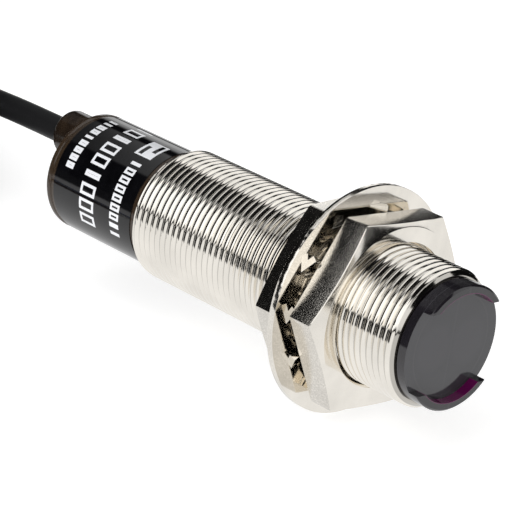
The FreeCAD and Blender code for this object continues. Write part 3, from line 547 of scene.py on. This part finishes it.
def soften(node, width, harden=False):
    """Rounds a CAD node's edges with modifiers, which leave its mesh as it is."""
    obj = NODES[node]
    weld = obj.modifiers.new("weld", "WELD")
    weld.merge_threshold = 1e-6
    bevel = obj.modifiers.new("bevel", "BEVEL")
    bevel.width = width
    bevel.segments = 2
    bevel.limit_method = "ANGLE"
    bevel.angle_limit = EDGE_ANGLE
    bevel.harden_normals = harden
    if not harden:
        even = obj.modifiers.new("even", "WEIGHTED_NORMAL")
        even.keep_sharp = True


def paint_nodes():
    """Gives every CAD node that still shows the finish that its own material's name asks for."""
    for obj in NODES.values():
        if not obj.hide_render:
            slot = obj.data.materials[0].name
            obj.data.materials[0] = FINISHES[slot]


# ---- the cable and its cores ----
CABLE_D, CORE_D, STRAND_D = 3.6 * MM, 1.2 * MM, 0.24 * MM

# The route's points, the coil and the cores, in millimetres. The points are part.py's own.
ROUTE = [(-35.8, 0, 18.5), (-45, 0, 18.5), (-53.5, 1.2, 17.7), (-61.4, 5, 15.9)]
TAIL = [(-77, -37.81, 1.8), (-72, -38.61, 1.8)]
COIL_X, COIL_Y = -82.0, -12.3
COIL_MEAN_R, COIL_TURN = 18.5, 3.6
COIL_LAYERS, LAYER_TURNS, RAMP_TURNS = 4, 4.14583, 0.25
COIL_ENTRY = 60.0               # degrees from +X, where the cable meets the coil
COIL_TOP, COIL_BOTTOM, COIL_TIED_BOTTOM = 13.4, 1.8, 2.6
COIL_STEPS = 32                 # points to a turn
TIE_ANGLE, TIE_REACH = 180.0, 32.0      # where the strap lifts the lowest layer, in degrees
CORE_SPREAD, CORE_REST = 0.65, 0.62     # half a core's spacing, and its height on the surface
OUTER_LANE, INNER_LANE = 3.2, 1.0
STRANDS, STRAND_STEPS = 7, 10
BARE, STRAND_TWIST, STRAND_SPREAD = 5.0, 1.1, 0.23


def ease(share):
    """A smooth way from 0 to 1."""
    return share * share * (3 - 2 * share)


def coil_points():
    """The wound length's points: layers laid outside in, then inside out."""
    half_width = COIL_TURN * (LAYER_TURNS - RAMP_TURNS) / 2
    inner, outer = COIL_MEAN_R - half_width, COIL_MEAN_R + half_width
    points = []
    for step in range(round(COIL_STEPS * COIL_LAYERS * LAYER_TURNS) + 1):
        turns = step / COIL_STEPS
        layer = min(int(turns / LAYER_TURNS), COIL_LAYERS - 1)
        within = turns - layer * LAYER_TURNS
        wound = min(within, LAYER_TURNS - RAMP_TURNS) * COIL_TURN
        radius = outer - wound if layer % 2 == 0 else inner + wound
        ramp = max(0.0, within - (LAYER_TURNS - RAMP_TURNS)) / RAMP_TURNS
        level = min(layer + ease(ramp), COIL_LAYERS - 1)
        angle = (COIL_ENTRY + 360 * turns) % 360
        near_tie = max(0.0, 1 - abs(angle - TIE_ANGLE) / TIE_REACH)
        lowest = COIL_BOTTOM + (COIL_TIED_BOTTOM - COIL_BOTTOM) * ease(near_tie)
        z = COIL_TOP - level * (COIL_TOP - lowest) / (COIL_LAYERS - 1)
        points.append((COIL_X + radius * cos(radians(angle)),
                       COIL_Y + radius * sin(radians(angle)), z))
    return points


def spline_object(name, lines, diameter, resolution):
    """A round tube along one or more smooth splines, whose points are in millimetres."""
    curve = bpy.data.curves.new(name, "CURVE")
    curve.dimensions = "3D"
    curve.bevel_depth = diameter / 2
    curve.bevel_resolution = 5
    curve.resolution_u = resolution
    curve.use_fill_caps = True
    for line in lines:
        spline = curve.splines.new("NURBS")
        spline.points.add(len(line) - 1)
        for point, place in zip(spline.points, line):
            point.co = (*(MM * coordinate for coordinate in place), 1)
        spline.order_u = 3
        spline.use_endpoint_u = True
    obj = bpy.data.objects.new(name, curve)
    bpy.context.scene.collection.objects.link(obj)
    return obj


def core_route(side, up):
    """One core's way from the jacket's end to its own lane on the surface."""
    x, y, z = TAIL[-1]
    near, high = y + side * CORE_SPREAD, z + up * CORE_SPREAD
    lane = side * (OUTER_LANE if up > 0 else INNER_LANE)
    return [(x, near, high), (x + 4.5, near + 0.3 * lane + 0.8, high),
            (x + 11, y + 0.8 * lane + 1.8, CORE_REST), (x + 18, y + lane + 2.2, CORE_REST),
            (x + 26, y + lane + 2.2, CORE_REST)]


def make_strands(ends):
    """Tinned strands out of each core: one straight, and the rest twisted round it."""
    lines = []
    for x, y, z in ends:
        for strand in range(STRANDS):
            reach = STRAND_SPREAD if strand else 0.0
            lines.append([(x - 0.2 + BARE * step / STRAND_STEPS,
                           y + reach * cos(strand + STRAND_TWIST * step),
                           z + reach * sin(strand + STRAND_TWIST * step))
                          for step in range(STRAND_STEPS + 1)])
    return spline_object("tinned_strands", lines, STRAND_D, 4)


def make_cable():
    """The cable, its coil and its bare end, made as one tube."""
    cable = spline_object("cable", [ROUTE + coil_points() + TAIL], CABLE_D, 4)
    finish_piece(cable, "root", "cable_jacket", "cable_tube", "cable_coil", "cable_tail")
    pieces, ends = [], []
    for colour, side, up in (("brown", 1, 1), ("blue", -1, 1), ("black", 1, -1),
                             ("white", -1, -1)):
        route = core_route(side, up)
        core = spline_object(f"core_{colour}", [route], CORE_D, 10)
        finish_piece(core, "root", f"core_{colour}", f"wire_{colour}")
        pieces.append(core)
        ends.append(route[-1])
    strands = make_strands(ends)
    finish_piece(strands, "root", "tinned_copper", "wire_tips")


# ---- studio ----
def make_floor():
    """A pale floor, wide enough to be seen all round, with a faint light of its own."""
    work = bmesh.new()
    bmesh.ops.create_grid(work, x_segments=2, y_segments=2, size=FLOOR_HALF)
    mesh = bpy.data.meshes.new("floor")
    work.to_mesh(mesh)
    work.free()
    floor = bpy.data.objects.new("floor", mesh)
    floor.location.z = CAD_BOX[0].z - FLOOR_DROP
    bpy.context.scene.collection.objects.link(floor)
    paint = Paint("floor_white", Roughness=0.9, Emission_Color=(1, 1, 1, 1),
                  Emission_Strength=FLOOR_GLOW)
    paint.set("Base Color", (0.6, 0.6, 0.6))
    floor.data.materials.append(paint.material)
    floor.visible_glossy = False


def make_world():
    """A photographer's studio, as what reflects it sees it: soft boxes, dark gaps and a table."""
    world = bpy.data.worlds.new("studio")
    bpy.context.scene.world = world
    world.use_nodes = True
    tree = world.node_tree
    way = add_node(tree, "ShaderNodeTexCoord", output="Generated")
    split = tree.nodes.new("ShaderNodeSeparateXYZ")
    tree.links.new(way, split.inputs[0])

    def edge(value, low, high):
        return add_node(tree, "ShaderNodeMapRange",
                        {"Value": value, "From Min": low, "From Max": high},
                        interpolation_type="SMOOTHSTEP")

    def combine(operation, *parts):
        joined = parts[0]
        for part in parts[1:]:
            joined = add_node(tree, "ShaderNodeMath", {0: joined, 1: part}, operation=operation)
        return joined

    def patch(level, soft, *ranges):
        """A soft-edged patch of the surroundings, level inside it and 0 outside."""
        sides = [level]
        for axis, (low, high) in zip(split.outputs, ranges):
            if low > -1:
                sides.append(edge(axis, low - soft, low + soft))
            if high < 1:
                sides.append(edge(axis, high + soft, high - soft))
        return combine("MULTIPLY", *sides)

    light = combine("MAXIMUM", *(patch(*row) for row in BRIGHT))
    for row in DARK:
        light = combine("MULTIPLY", light, combine("SUBTRACT", 1.0, patch(*row)))
    seen = add_node(tree, "ShaderNodeLightPath", output="Is Camera Ray")
    background = tree.nodes["Background"]
    background.inputs["Color"].default_value = (1, 1, 1, 1)
    tree.links.new(combine("MAXIMUM", combine("ADD", light, FAINTEST), seen),
                   background.inputs["Strength"])


def make_light(name, place, aim, size, power):
    """A square light that shines on the part without showing in what is glossy."""
    light = bpy.data.lights.new(name, "AREA")
    light.size = size
    light.energy = power
    obj = bpy.data.objects.new(name, light)
    obj.location = place
    obj.visible_glossy = False
    obj.rotation_mode = "QUATERNION"
    obj.rotation_quaternion = (Vector(aim) - Vector(place)).to_track_quat("-Z", "Y")
    bpy.context.scene.collection.objects.link(obj)


make_camera()
make_cable()
make_barrel()
make_nut("rear_hex_nut", "rear_nut", "rear_nut", REAR_NUT_ROLL, -1)
make_nut("front_hex_nut", "front_nut", "front_nut", FRONT_NUT_ROLL, 1)
soften("lock_washer", WASHER_EDGE, harden=True)
for node, width in SOFT_EDGES.items():
    soften(node, width)
paint_nodes()
make_floor()
make_world()
make_light("key", place=(0.05, -0.5, 0.55), aim=(0, 0, 0.015), size=0.5, power=1.6)
bpy.context.scene.view_settings.view_transform = "Standard"
